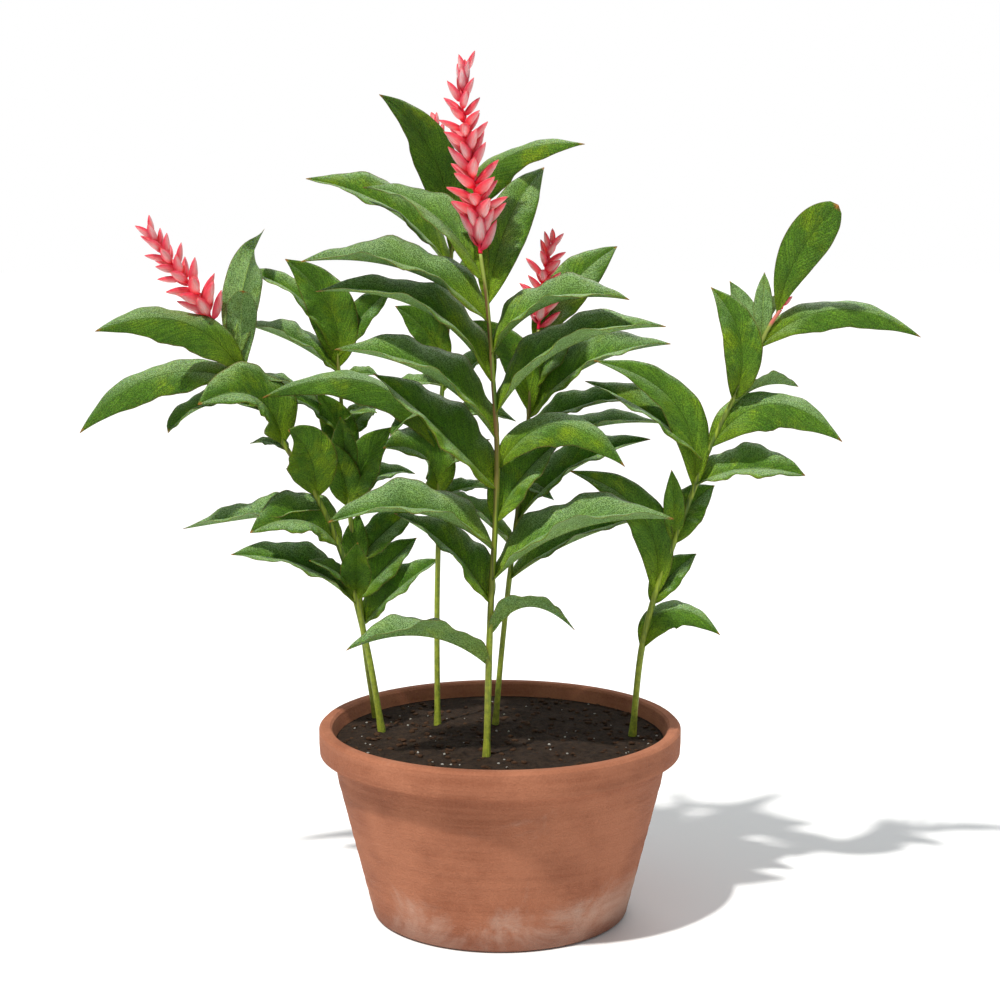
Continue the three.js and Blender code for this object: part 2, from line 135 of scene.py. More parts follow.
def mottle_group():
    """A soft two-colour mottle with a finer grain in it: used on clay, soil, canes, leaves and bracts."""
    group = bpy.data.node_groups.new("mottle", "ShaderNodeTree")
    sockets = (
        ("Place", "INPUT", "NodeSocketVector"), ("Scale", "INPUT", "NodeSocketFloat"),
        ("Grain Scale", "INPUT", "NodeSocketFloat"), ("Dark", "INPUT", "NodeSocketColor"),
        ("Light", "INPUT", "NodeSocketColor"), ("Colour", "OUTPUT", "NodeSocketColor"),
        ("Patch", "OUTPUT", "NodeSocketFloat"), ("Grain", "OUTPUT", "NodeSocketFloat"),
    )
    for name, side, kind in sockets:
        group.interface.new_socket(name, in_out=side, socket_type=kind)
    given = group.nodes.new("NodeGroupInput").outputs
    patch = add_node(group, "ShaderNodeTexNoise",
                     {"Vector": given["Place"], "Scale": given["Scale"], "Detail": 5.0, "Roughness": 0.6})
    grain_inputs = {"Vector": given["Place"], "Scale": given["Grain Scale"], "Detail": 3.0, "Roughness": 0.7}
    grain = add_node(group, "ShaderNodeTexNoise", grain_inputs)
    soft = between(group, patch.outputs["Fac"], 0.34, 0.66)
    fine = between(group, grain.outputs["Fac"], 0.3, 0.7)
    share = sum_up(group, "ADD", sum_up(group, "MULTIPLY", soft, 0.7), sum_up(group, "MULTIPLY", fine, 0.3))
    colour = blended(group, share, given["Dark"], given["Light"])
    out = group.nodes.new("NodeGroupOutput")
    group.links.new(colour, out.inputs["Colour"])
    group.links.new(soft, out.inputs["Patch"])
    group.links.new(fine, out.inputs["Grain"])
    return group


MOTTLE = mottle_group()


def mottled(tree, place, scale, grain_scale, dark, light):
    made = add_node(tree, "ShaderNodeGroup", node_tree=MOTTLE)
    tree.links.new(place, made.inputs["Place"])
    for name, value in (("Scale", scale), ("Grain Scale", grain_scale), ("Dark", dark), ("Light", light)):
        if isinstance(value, bpy.types.NodeSocket):
            tree.links.new(value, made.inputs[name])
        else:
            made.inputs[name].default_value = value
    return made.outputs


def new_material(name, **constants):
    """A material with its Principled shader, whose constant sockets are given by name."""
    material = bpy.data.materials.new(name)
    material.use_nodes = True
    shader = material.node_tree.nodes["Principled BSDF"]
    for socket, value in constants.items():
        shader.inputs[socket.replace("_", " ")].default_value = value
    return material, material.node_tree, shader


def surface(tree, shader, colour, roughness, height, depth):
    """Feeds the shader its colour and roughness, and a bump of the given depth in metres."""
    bump = add_node(tree, "ShaderNodeBump", {"Height": height, "Strength": 1.0, "Distance": depth})
    tree.links.new(colour, shader.inputs["Base Color"])
    tree.links.new(roughness, shader.inputs["Roughness"])
    tree.links.new(bump.outputs["Normal"], shader.inputs["Normal"])


def fired_clay():
    material, tree, shader = new_material("fired_clay", Specular_IOR_Level=0.25)
    place = tree.nodes.new("ShaderNodeTexCoord").outputs["Object"]
    height = add_node(tree, "ShaderNodeSeparateXYZ", {0: place}).outputs["Z"]
    body = mottled(tree, place, 9.0, 260.0, CLAY_DARK, CLAY_LIGHT)
    flat = add_node(tree, "ShaderNodeMapping", {"Vector": place, "Scale": (3.0, 3.0, 95.0)})
    rings = add_node(tree, "ShaderNodeTexNoise", {"Vector": flat.outputs[0], "Scale": 1.0, "Detail": 3.0})
    ring = between(tree, rings.outputs["Fac"], 0.35, 0.65)
    turned_look = blended(tree, sum_up(tree, "MULTIPLY", ring, 0.35), body["Colour"], CLAY_LIGHT)
    cloud = add_node(tree, "ShaderNodeTexNoise",
                     {"Vector": place, "Scale": 6.5, "Detail": 7.0, "Roughness": 0.68, "Distortion": 0.5})
    near_foot = between(tree, height, 0.0, 0.13, 0.32, 0.0)
    salts = between(tree, sum_up(tree, "ADD", cloud.outputs["Fac"], near_foot), 0.60, 0.86, 0.0, 0.62)
    salted = blended(tree, salts, turned_look, CLAY_BLOOM)
    damp = between(tree, sum_up(tree, "ADD", height, sum_up(tree, "MULTIPLY", cloud.outputs["Fac"], 0.05)),
                   0.03, 0.075, 0.55, 0.0)
    colour = blended(tree, damp, salted, CLAY_DAMP)
    pits = add_node(tree, "ShaderNodeTexVoronoi", {"Vector": place, "Scale": 210.0})
    pit = between(tree, pits.outputs["Distance"], 0.0, 0.28)
    relief = sum_up(tree, "ADD", sum_up(tree, "MULTIPLY", ring, 0.6),
                    sum_up(tree, "ADD", body["Grain"], sum_up(tree, "MULTIPLY", pit, 0.5)))
    surface(tree, shader, colour, between(tree, body["Patch"], 0.0, 1.0, 0.78, 0.92), relief, 0.0006)
    return material


def rippled_wall():
    """The outer wall from foot to band, with the ripple that the turner's fingers leave."""
    band_foot = POT_HEIGHT - RIM_BAND_HEIGHT
    stations = []
    for i in range(WALL_STEPS + 1):
        height = FOOT_ROUNDING + (band_foot - FOOT_ROUNDING) * i / WALL_STEPS
        ripple = TURNING_RIPPLE * math.sin(height / RIPPLE_SPACING) * math.sin(height / RIPPLE_DRIFT)
        cut = sum(CUT_LINE_DEPTH for line in CUT_LINES if abs(height - line) < CUT_LINE_HALF)
        stations.append((wall_radius(height) + ripple - cut, height))
    return stations


rim_inner = wall_radius(POT_HEIGHT) - POT_WALL
pot_profile = [(0, 0), (POT_FOOT_RADIUS - 6, 0), (POT_FOOT_RADIUS + 0.5, 4)]
pot_profile += rippled_wall()
pot_profile += [
    (POT_RIM_RADIUS - 1, POT_HEIGHT - RIM_BAND_HEIGHT + 6), (POT_RIM_RADIUS, POT_HEIGHT - 30),
    (POT_RIM_RADIUS, POT_HEIGHT - 5), (POT_RIM_RADIUS - 5, POT_HEIGHT), (rim_inner + 4, POT_HEIGHT),
    (rim_inner, POT_HEIGHT - 4), (wall_radius(POT_HEIGHT / 2) - POT_WALL, POT_HEIGHT / 2),
    (wall_radius(POT_FLOOR) - POT_WALL, POT_FLOOR), (0, POT_FLOOR),
]
pot = finished_piece("clay_pot", turned(pot_profile, POT_STEPS), [fired_clay()], "pot")

cutter_bm = bmesh.new()
for i in range(DRAIN_HOLES):
    angle = math.tau * i / DRAIN_HOLES + math.pi / 2
    plug = bmesh.ops.create_cone(cutter_bm, cap_ends=True, segments=24, radius1=DRAIN_HOLE_RADIUS * MM,
                                 radius2=DRAIN_HOLE_RADIUS * MM, depth=3 * POT_FLOOR * MM)
    place = Vector((math.cos(angle), math.sin(angle), 0)) * DRAIN_CIRCLE_RADIUS * MM
    bmesh.ops.translate(cutter_bm, vec=place, verts=plug["verts"])
cutter_mesh = bpy.data.meshes.new("drain_cutter")
cutter_bm.to_mesh(cutter_mesh)
cutter_bm.free()
cutter = bpy.data.objects.new("drain_cutter", cutter_mesh)
bpy.context.scene.collection.objects.link(cutter)
drains = pot.modifiers.new("drains", "BOOLEAN")
drains.operation = "DIFFERENCE"
drains.object = cutter
drilled = bpy.data.meshes.new_from_object(pot.evaluated_get(bpy.context.evaluated_depsgraph_get()))
pot.modifiers.clear()
pot.data = drilled
bpy.data.objects.remove(cutter)
rounding = pot.modifiers.new("soft_edges", "BEVEL")
rounding.width = POT_EDGE_ROUNDING * MM
rounding.segments = 2
rounding.limit_method = "ANGLE"
rounding.angle_limit = math.radians(28)


# The soil is dark potting mix of peat, bark and a little perlite. It is filled in loose and pressed
# round the canes, so it lies uneven and a little higher in the middle, just under the pot's rim.
SOIL_BELOW_RIM = 26
SOIL_MOUND = 7
SOIL_LEVEL = POT_HEIGHT - SOIL_BELOW_RIM
SOIL_GAP = 0.45
SOIL_LIFT = 0.3
SOIL_STEPS = 120
SOIL_RINGS = 46
SOIL_UNEVEN = 2.2
CLOD_HEIGHT = 2.4
CLOD_WIDTH = 9
CRUMB_HEIGHT = 1.2
CRUMB_WIDTH = 3.5
LUMP_WALL_CLEARANCE = 8
LUMP_LIFT = 0.1
CRUMBS = 420
CRUMB_SIZES = (2.0, 6.5)
PERLITE_GRAINS = 70
PERLITE_SIZES = (1.2, 2.6)
SOIL_DARK = (0.012, 0.008, 0.006, 1)
SOIL_LIGHT = (0.060, 0.036, 0.022, 1)
BARK_BROWN = (0.11, 0.055, 0.028, 1)
PERLITE_GREY = (0.30, 0.28, 0.25, 1)
PERLITE_WHITE = (0.55, 0.53, 0.48, 1)
soil_radius = wall_radius(SOIL_LEVEL) - POT_WALL - SOIL_GAP
soil_floor = POT_FLOOR + SOIL_LIFT


def soil_height(x, y):
    """The soil's surface above the pot's underside at a place, all in millimetres."""
    share = 1 - (x * x + y * y) / soil_radius ** 2
    uneven = math.sin(x / 31 + 1) * math.cos(y / 27) + 0.6 * math.sin(x / 13 - y / 17)
    clod = CLOD_HEIGHT * noise.noise(Vector((x / CLOD_WIDTH, y / CLOD_WIDTH, 0.3)))
    crumb = CRUMB_HEIGHT * noise.noise(Vector((x / CRUMB_WIDTH, y / CRUMB_WIDTH, 4.0)))
    return SOIL_LEVEL + SOIL_MOUND * share + (SOIL_UNEVEN * uneven + clod + crumb) * min(1, 4 * share)


def potting_mix(name, dark, light, depth):
    material, tree, shader = new_material(name, Specular_IOR_Level=0.15)
    place = tree.nodes.new("ShaderNodeTexCoord").outputs["Object"]
    body = mottled(tree, place, 70.0, 600.0, dark, light)
    chips = add_node(tree, "ShaderNodeTexVoronoi", {"Vector": place, "Scale": 150.0})
    chip = between(tree, chips.outputs["Distance"], 0.1, 0.6)
    colour = blended(tree, sum_up(tree, "MULTIPLY", chip, 0.35), body["Colour"], light)
    relief = sum_up(tree, "ADD", chip, body["Grain"])
    surface(tree, shader, colour, between(tree, body["Grain"], 0.0, 1.0, 0.88, 1.0), relief, depth)
    return material


soil_profile = [(0, soil_floor), (wall_radius(POT_FLOOR) - POT_WALL - SOIL_GAP, soil_floor)]
soil_profile += [(soil_radius * (1 - i / SOIL_RINGS), SOIL_LEVEL) for i in range(SOIL_RINGS + 1)]
soil_bm = turned(soil_profile, SOIL_STEPS)
for vert in soil_bm.verts:
    if vert.co.z > (SOIL_LEVEL - 1) * MM:
        vert.co.z = soil_height(vert.co.x / MM, vert.co.y / MM) * MM
soil_mix = potting_mix("soil_mix", SOIL_DARK, SOIL_LIGHT, 0.002)
finished_piece("potting_soil", soil_bm, [soil_mix], "soil")


def scattered_lumps(count, sizes, flatness, seed):
    """Small lumps that lie half sunk in the soil, each a ball with its corners pushed about."""
    bm = bmesh.new()
    draw = random.Random(seed)
    for _ in range(count):
        reach = (soil_radius - LUMP_WALL_CLEARANCE) * math.sqrt(draw.random())
        angle = draw.uniform(0, math.tau)
        x, y = reach * math.cos(angle), reach * math.sin(angle)
        size = draw.uniform(*sizes)
        lump = bmesh.ops.create_icosphere(bm, subdivisions=1, radius=size * MM)["verts"]
        for vert in lump:
            vert.co *= draw.uniform(0.7, 1.15)
            vert.co.x *= draw.uniform(1.0, 1.5)
            vert.co.z *= flatness
        spin = draw.uniform(0, math.tau)
        bmesh.ops.rotate(bm, cent=(0, 0, 0), matrix=Matrix.Rotation(spin, 3, "Z"), verts=lump)
        height = soil_height(x, y) + size * LUMP_LIFT
        bmesh.ops.translate(bm, vec=(x * MM, y * MM, height * MM), verts=lump)
    bmesh.ops.recalc_face_normals(bm, faces=bm.faces)
    return bm


finished_piece("bark_crumbs", scattered_lumps(CRUMBS, CRUMB_SIZES, 0.6, 11),
               [potting_mix("bark_chips", SOIL_DARK, BARK_BROWN, 0.0012)], "soil")
finished_piece("perlite_grains", scattered_lumps(PERLITE_GRAINS, PERLITE_SIZES, 0.9, 23),
               [potting_mix("perlite", PERLITE_GREY, PERLITE_WHITE, 0.0008)], "soil")


# Each cane is a leafy stem of rolled leaf sheaths, one inside the other, so it steps in a little above
# every leaf. It grows from the rootstock under the soil and thins towards the flower. It is yellow-green
# and freckled at its foot, and the right-hand one is pink under its bud.
ROOTED_DEPTH = 70
CANE_SIDES = 14
CANE_STEP = 9
CANE_TAPER = 0.42
SHEATH_STEP = 0.09
SHEATH_LENGTH = 45
SHEATH_FULLNESS = 0.94
TOP_SLIMMING = 0.14
PINK_FROM = 0.965
BLUSHED = {"cane_front": 0.9, "cane_middle": 0.55, "cane_centre_right": 0.6, "cane_left": 0.45,
           "cane_rear_left": 0.55, "cane_right": 0.15}
FOOT_SWELL = 0.28
FOOT_SWELL_HEIGHT = 22
SPAN_STEPS = 24
CANE_FOOT = (0.40, 0.47, 0.040, 1)
CANE_FOOT_DARK = (0.16, 0.23, 0.022, 1)
CANE_FRECKLE = (0.16, 0.09, 0.03, 1)
CANE_MIDDLE = (0.28, 0.37, 0.030, 1)
CANE_MIDDLE_DARK = (0.075, 0.135, 0.018, 1)
CANE_TOP = (0.30, 0.37, 0.07, 1)
CANE_BLUSH_AND_SHADE = (0.15, 0.060, 0.030, 1)
CANE_PINK = (0.62, 0.13, 0.13, 1)

# Above the soil, in millimetres. Points: right, away, up. Each leaf: the height at which it leaves the
# cane, its reach to the right, away and up, its bow and its width; then in degrees the turn of its
# face from up to the front, the fold of its halves, which is negative where they hang down from the
# midrib, and how far the blade twists from root to tip. A blunt leaf is broadest near its tip, and a
# young one is pale and dull on both faces.
CANES = {
    "cane_front": (12.6, [
        (-23, -150, 0), (-16, -148, 251), (-7, -146, 420), (-5, -145, 530), (-12, -143, 655),
        (-22, -142, 780), (-32, -141, 850),
    ], [
        (164, -237, -30, 32, 39, 106, -12, 42, 45), (215, 142, -25, 14, 46, 68, -22, 40, 20),
        (270, -162, 25, 148, 18, 104, 16, 38, -10), (309, 299, -30, 108, 37, 140, 12, 42, -6),
        (360, -273, -35, 52, 41, 132, 14, 40, 12), (407, 112, 45, 134, 14, 84, 30, 34, 0),
        (463, -204, 15, 190, 4, 128, 22, 38, -8), (496, 210, -30, 8, 73, 74, 46, -14, 20),
        (546, -264, -25, 150, 38, 132, 16, 40, 6), (588, 279, -10, 144, 45, 122, 12, 42, 8),
        (639, -290, -5, 150, 54, 118, 16, 38, 0), (687, 224, -35, 90, 41, 114, 16, 38, 8),
        (738, -305, -25, 100, 41, 128, 20, 36, -14), (768, 96, 165, 224, 34, 78, 78, 14, 0),
        (802, -208, 150, 156, 39, 86, 22, 38, -14),
    ]),
    "cane_middle": (11.6, [
        (-112, 55, 0), (-112, 55, 208), (-109, 56, 345), (-104, 58, 567), (-90, 60, 725),
        (-82, 61, 867), (-71, 62, 933),
    ], [
        (415, 96, 25, 15, 10, 48, 20, 34, 0), (423, -92, -90, 94, 36, 104, 40, 30, 10),
        (456, 90, 60, 58, 9, 58, 10, 36, 0), (500, -298, -98, 104, 79, 80, 42, -20, 14),
        (552, 133, -10, 2, 13, 62, 16, 36, 0), (582, -88, -40, -50, 11, 52, 14, 36, 0),
        (605, 148, 30, 70, 17, 78, 16, 34, 0), (616, -100, 45, -8, 7, 52, 20, 30, 0),
        (652, -84, -30, 104, 14, 64, 60, 24, 0), (780, 96, -30, 52, 20, 54, 24, 34, 0),
        (815, -248, -10, 158, 32, 112, 20, 36, 20), (846, 223, -160, 182, 72, 76, 50, -16, 8),
        (868, -116, -150, 240, 48, 76, 72, 20, -14),
    ]),
    "cane_centre_right": (11.6, [
        (-9, 55, 0), (2, 55, 131), (18, 56, 285), (35, 58, 423), (47, 60, 520), (55, 62, 625),
        (67, 64, 713),
    ], [
        (272, 266, 0, 115, 18, 102, 14, 38, 0), (328, -122, -50, 106, 7, 80, 20, 36, 0),
        (375, 236, 10, 145, 27, 116, 16, 38, 6), (438, 58, -20, -22, 4, 30, 20, 26, 0),
        (484, 251, 40, 60, 27, 80, 14, 36, -8), (530, 205, 10, 62, 17, 90, 16, 36, 8),
        (560, 246, -25, 130, 32, 124, 24, 38, -12), (570, -118, -45, 160, 40, 64, 60, 22, 0),
        (608, 93, 60, 110, 5, 74, 18, 34, 0), (686, 148, 135, 168, 24, 80, 56, 18, 30),
    ]),
    "cane_left": (12.4, [
        (-209, 15, 0), (-223, 14, 95), (-237, 13, 172), (-262, 12, 278), (-284, 10, 347),
        (-319, 8, 428), (-374, 4, 520), (-437, 0, 631), (-490, -4, 729.4),
    ], [
        (235, -217, -20, 92, 26, 100, 16, 36, 14), (242, 8, -55, 112, 12, 58, 70, 30, 0),
        (262, -70, -60, 62, 10, 40, 40, 24, 0), (338, -149, -50, 33, 36, 112, 34, 34, 20),
        (405, -250, 30, -40, 3, 96, 16, 34, -20), (427, -38, -90, 126, 26, 92, 66, 20, 0),
        (508, -72, 50, 6, 8, 42, 16, 30, 0), (522, -129, -110, 77, 52, 120, 40, 30, 20),
        (575, -173, 30, -40, 34, 68, 24, 36, 0, "blunt"), (625, -290, -10, -85, 56, 78, 46, -14, 26),
        (635, 124, 90, -55, 8, 66, 16, 34, 0), (640, 6, -20, 145, 22, 56, -70, 20, 0, "blunt"),
        (641, -219, -158, 84, 56, 86, 52, -18, 20), (664, 36, 158, 222, 36, 68, -68, 24, 30),
    ]),
    "cane_rear_left": (12, [
        (-226, 120, 0), (-241, 120, 100), (-255, 120, 235), (-268, 121, 360), (-279, 122, 506),
        (-286, 123, 629), (-290, 124, 672),
    ], [
        (175, 140, -15, 124, 7, 88, 26, 36, 0), (225, 103, 25, 106, 5, 70, 40, 32, 0),
        (272, 5, 10, 106, 10, 50, 74, 24, 0), (288, 119, 50, 104, 7, 70, 40, 30, 0),
        (385, 116, 60, 58, 30, 66, 24, 34, 0), (392, -30, -50, 124, 8, 62, 70, 24, 0),
        (398, 80, -40, 142, 12, 78, 60, 30, 0), (440, -5, -70, 121, 6, 48, 74, 24, 0),
        (466, -47, -30, 134, 14, 66, 66, 24, 0), (506, 56, 55, 66, 10, 62, 28, 30, 0),
        (512, -128, -20, 87, 18, 68, 24, 34, 0), (540, 64, -30, 24, 10, 36, 20, 30, 0),
        (598, 70, -45, 34, 16, 42, 30, 32, 0), (632, -169, -50, 92, 13, 92, 20, 36, -16),
        (644, -91, -10, 190, 32, 90, 64, 30, 0), (662, 105, 20, 125, 12, 60, 44, 26, 0),
        (666, -172, 20, 148, 31, 76, 20, 36, 0),
    ]),
    "cane_right": (12.4, [
        (233, -8, 0), (248, -9, 161), (270, -10, 256), (302, -11, 350), (338, -12, 452),
        (362, -13, 517), (391, -14, 581), (434, -15, 670), (458, -16, 722), (478, -16, 753),
    ], [
        (161, 135, -20, 28, 59, 66, 44, -20, 10), (240, 79, 30, 84, 10, 56, 44, 30, 0),
        (256, -151, -10, 220, 60, 74, 58, 26, -10), (347, 73, 30, 98, 16, 72, 48, 28, 0),
        (350, -8, -25, 130, 6, 40, 70, 30, 0), (445, -176, -25, 222, 64, 72, 56, 24, -14),
        (450, 188, -10, 18, 20, 100, 26, 34, 20), (492, -205, 45, 134, 14, 92, 20, 34, 0),
        (517, 222, -30, 12, 70, 90, 54, -22, 8), (577, 131, 60, 38, 24, 70, -24, 32, 0, "young"),
        (599, -38, 30, 190, 38, 72, 74, 34, -20), (678, -40, 64, 120, 8, 46, -66, 24, 0, "young"),
        (688, 274, -10, 18, 56, 66, 54, -18, 10), (688, 60, 90, 84, 14, 56, -56, 24, 0, "young"),
        (700, 7, 40, 114, 8, 34, 60, 20, 0, "young"), (744, 87, -75, 185, 20, 78, 74, 12, 0, "blunt"),
    ]),
}


def smooth_path(points, spacing):
    """Evenly spaced points, in millimetres, on a smooth line through the given ones."""
    ends = [points[0] * 2 - points[1], *points, points[-1] * 2 - points[-2]]
    fine = []
    for p0, p1, p2, p3 in zip(ends, ends[1:], ends[2:], ends[3:]):
        t1 = (p1 - p0).length ** 0.5
        t2 = t1 + (p2 - p1).length ** 0.5
        t3 = t2 + (p3 - p2).length ** 0.5
        for i in range(SPAN_STEPS):
            t = t1 + (t2 - t1) * i / SPAN_STEPS
            a1 = p0.lerp(p1, t / t1)
            a2 = p1.lerp(p2, (t - t1) / (t2 - t1))
            a3 = p2.lerp(p3, (t - t2) / (t3 - t2))
            fine.append(a1.lerp(a2, t / t2).lerp(a2.lerp(a3, (t - t1) / (t3 - t1)), (t - t1) / (t2 - t1)))
    fine.append(points[-1])
    count = max(2, round(sum((b - a).length for a, b in zip(fine, fine[1:])) / spacing))
    return resampled(fine, count)


def resampled(line, count):
    """The line as count + 1 evenly spaced points."""
    walked = [0.0]
    for a, b in zip(line, line[1:]):
        walked.append(walked[-1] + (b - a).length)
    even, i = [], 0
    for k in range(count + 1):
        target = walked[-1] * k / count
        while i < len(line) - 2 and walked[i + 1] < target:
            i += 1
        even.append(line[i].lerp(line[i + 1], (target - walked[i]) / (walked[i + 1] - walked[i])))
    return even


def rod_along(bm, line, radius_at, sides):
    """A round rod along points in millimetres: a ring at the foot, drawn out station by station."""
    ring = bmesh.ops.create_circle(bm, cap_ends=True, segments=sides, radius=1)["verts"]
    spokes = [vert.co.copy() for vert in ring]
    made = list(ring)
    for i, centre in enumerate(line):
        along = (line[min(i + 1, len(line) - 1)] - line[max(i - 1, 0)]).normalized()
        right = Vector((0, -1, 0)).cross(along).normalized()
        across = along.cross(right)
        if i:
            edges = [e for e in bm.edges if e.verts[0] in ring_set and e.verts[1] in ring_set]
            drawn = bmesh.ops.extrude_edge_only(bm, edges=edges)["geom"]
            ring = [e for e in drawn if isinstance(e, bmesh.types.BMVert)]
            order = {}
            for vert in ring:
                order[min(range(sides), key=lambda j: (old_places[j] - vert.co).length)] = vert
            ring = [order[j] for j in range(sides)]
            made += ring
        ring_set = set(ring)
        for spoke, vert in zip(spokes, ring):
            radius = radius_at(i / (len(line) - 1), centre.z)
            vert.co = (centre + (right * spoke.x + across * spoke.y) * radius) * MM
        old_places = [vert.co.copy() for vert in ring]
    bmesh.ops.contextual_create(bm, geom=ring)
    bmesh.ops.recalc_face_normals(bm, faces=bm.faces)
    return made


def cane_skin():
    material, tree, shader = new_material("cane_skin", Specular_IOR_Level=0.3, Subsurface_Weight=0.06)
    shader.inputs["Subsurface Radius"].default_value = (0.004, 0.006, 0.002)
    place = tree.nodes.new("ShaderNodeTexCoord").outputs["Object"]
    rise = add_node(tree, "ShaderNodeAttribute", attribute_name="rise").outputs["Fac"]
    streak_place = add_node(tree, "ShaderNodeMapping", {"Vector": place, "Scale": (260.0, 260.0, 9.0)})
    streak = add_node(tree, "ShaderNodeTexNoise",
                      {"Vector": streak_place.outputs[0], "Scale": 1.0, "Detail": 3.0})
    fibre = between(tree, streak.outputs["Fac"], 0.35, 0.65)
    foot = mottled(tree, place, 120.0, 700.0, CANE_FOOT_DARK, CANE_FOOT)
    middle = blended(tree, fibre, CANE_MIDDLE_DARK, CANE_MIDDLE)
    lower = blended(tree, between(tree, rise, 0.12, 0.5), foot["Colour"], middle)
    upper = blended(tree, between(tree, rise, 0.72, 0.95), lower, CANE_TOP)
    drawn_out = add_node(tree, "ShaderNodeMapping", {"Vector": place, "Scale": (75.0, 75.0, 4.5)})
    patches = add_node(tree, "ShaderNodeTexNoise",
                       {"Vector": drawn_out.outputs[0], "Scale": 1.0, "Detail": 2.0})
    # Painted shade: the side facing -X is pushed towards the dark blush colour, as a shaded side; the
    # stretched noise patches are the cane's own reddish blush.
    outward = tree.nodes.new("ShaderNodeTexCoord").outputs["Normal"]
    facing = add_node(tree, "ShaderNodeSeparateXYZ", {0: outward})
    painted_shade_side = between(tree, facing.outputs["X"], -0.6, 0.6, 0.16, 0.0)
    blush_and_shade = between(tree, sum_up(tree, "ADD", patches.outputs["Fac"], painted_shade_side), 0.48, 0.66)
    blush = add_node(tree, "ShaderNodeAttribute", attribute_name="blush").outputs["Fac"]
    colour = blended(tree, sum_up(tree, "MULTIPLY", blush_and_shade, blush), upper, CANE_BLUSH_AND_SHADE)
    freckles = add_node(tree, "ShaderNodeTexVoronoi", {"Vector": place, "Scale": 330.0})
    freckle = between(tree, freckles.outputs["Distance"], 0.1, 0.26, 0.6, 0.0)
    freckled = blended(tree, sum_up(tree, "MULTIPLY", freckle, between(tree, rise, 0.2, 0.7, 1.0, 0.15)),
                       colour, CANE_FRECKLE)
    pink = add_node(tree, "ShaderNodeAttribute", attribute_name="pink").outputs["Fac"]
    skin = blended(tree, pink, freckled, CANE_PINK)
    surface(tree, shader, skin, between(tree, foot["Grain"], 0.0, 1.0, 0.42, 0.58), fibre, 0.0004)
    return material


CANE_SKIN = cane_skin()


def cane_line(points):
    foot, step = Vector(points[0]), Vector(points[1])
    buried = foot + (foot - step).normalized() * ROOTED_DEPTH
    line = smooth_path([buried, *map(Vector, points)], CANE_STEP)
    return [point + Vector((0, 0, SOIL_LEVEL)) for point in line]


def sheathed_radius(thickness, leaf_heights):
    """The cane thins upwards. Each sheath ends in a small step just above its leaf."""
    steps = sorted(height + SOIL_LEVEL for height in leaf_heights)

    def radius_at(fraction, z):
        plain = thickness / 2 * (1 - CANE_TAPER * fraction ** 1.6)
        still_above = [h for h in steps if h >= z - 3]
        next_leaf = still_above[0] if still_above else z + 60
        step = SHEATH_STEP * math.exp(-max(0, next_leaf - z) / SHEATH_LENGTH)
        swell = FOOT_SWELL * math.exp(-((z - SOIL_LEVEL - 4) / FOOT_SWELL_HEIGHT) ** 2)
        return plain * (SHEATH_FULLNESS - TOP_SLIMMING * fraction + step + swell)

    return radius_at


cane_lines = {name: cane_line(points) for name, (_, points, _) in CANES.items()}
for name, (thickness, _, leaves) in CANES.items():
    cane_bm = bmesh.new()
    rise_layer = cane_bm.verts.layers.float.new("rise")
    pink_layer = cane_bm.verts.layers.float.new("pink")
    blush_layer = cane_bm.verts.layers.float.new("blush")
    line = cane_lines[name]
    made = rod_along(cane_bm, line, sheathed_radius(thickness, [leaf[0] for leaf in leaves]), CANE_SIDES)
    for i, vert in enumerate(made):
        rise = (i // CANE_SIDES) / (len(line) - 1)
        vert[rise_layer] = rise
        vert[pink_layer] = 0.85 if name == "cane_right" and rise > PINK_FROM else 0
        vert[blush_layer] = BLUSHED[name] * min(1, max(0.3, 2 * rise - 0.5))
    finished_piece(name + "_stem", cane_bm, [CANE_SKIN], name)


# A leaf is one long thin blade on a short stalk. Its midrib is a groove above and a ridge below, its
# halves rise from it and arch over, its edges wave, and it ends in a drawn-out tip that dries brown.
# The upper face is a deep waxy green, the underside paler and duller.
BLADE_ACROSS = 12
BLADE_ALONG = 40
BLADE_THICKNESS = 0.6
RIDGE_THICKNESS = 2.2
RIDGE_HALF_WIDTH = 0.07
STALK_SHARE = 0.075
WIDEST_POWERS = (0.72, 0.82)
BLUNT_POWERS = (0.95, 0.36)
TIP_NARROWING = 0.45
HIGHEST_AT = 0.46
ROOT_FOLD = 34
HALF_CURL = 22
OPEN_BY = 0.45
TWIST_FROM = 0.35
EDGE_WAVE = 0.055
WAVE_RATE = 17
WAVE_LAG = 2.1
FINE_WAVE_SHARE = 0.3
FINE_WAVE_RATE = 2.7
LEAF_DEEP = (0.038, 0.097, 0.009, 1)
LEAF_BRIGHT = (0.118, 0.240, 0.018, 1)
LEAF_YELLOW = (0.26, 0.35, 0.005, 1)
# Pale grey-green bloom: where faces look up it is painted sheen, a painted reflection of the sky.
LEAF_BLOOM_AND_SHEEN = (0.23, 0.335, 0.155, 1)
UNDER_DEEP = (0.085, 0.175, 0.035, 1)
UNDER_PALE = (0.21, 0.34, 0.105, 1)
# Painted shade for the midrib's groove on the upper face.
CREASE_SHADE_GREEN = (0.035, 0.075, 0.004, 1)
RIDGE_GREEN = (0.22, 0.33, 0.06, 1)
DRY_TIP = (0.36, 0.15, 0.035, 1)
MARGIN_BROWN = (0.15, 0.085, 0.03, 1)
VEINS = 75
VEIN_SLANT = 0.30


def blade_map(tree):
    """The blade's map, and from it how far a place is off the midrib and how far along the blade."""
    run = add_node(tree, "ShaderNodeUVMap", uv_map="blade").outputs[0]
    split = add_node(tree, "ShaderNodeSeparateXYZ", {0: run})
    doubled = sum_up(tree, "MULTIPLY", split.outputs["X"], 2.0)
    off_middle = sum_up(tree, "ABSOLUTE", sum_up(tree, "SUBTRACT", doubled, 1.0))
    return split, off_middle, sum_up(tree, "FRACT", split.outputs["Y"])


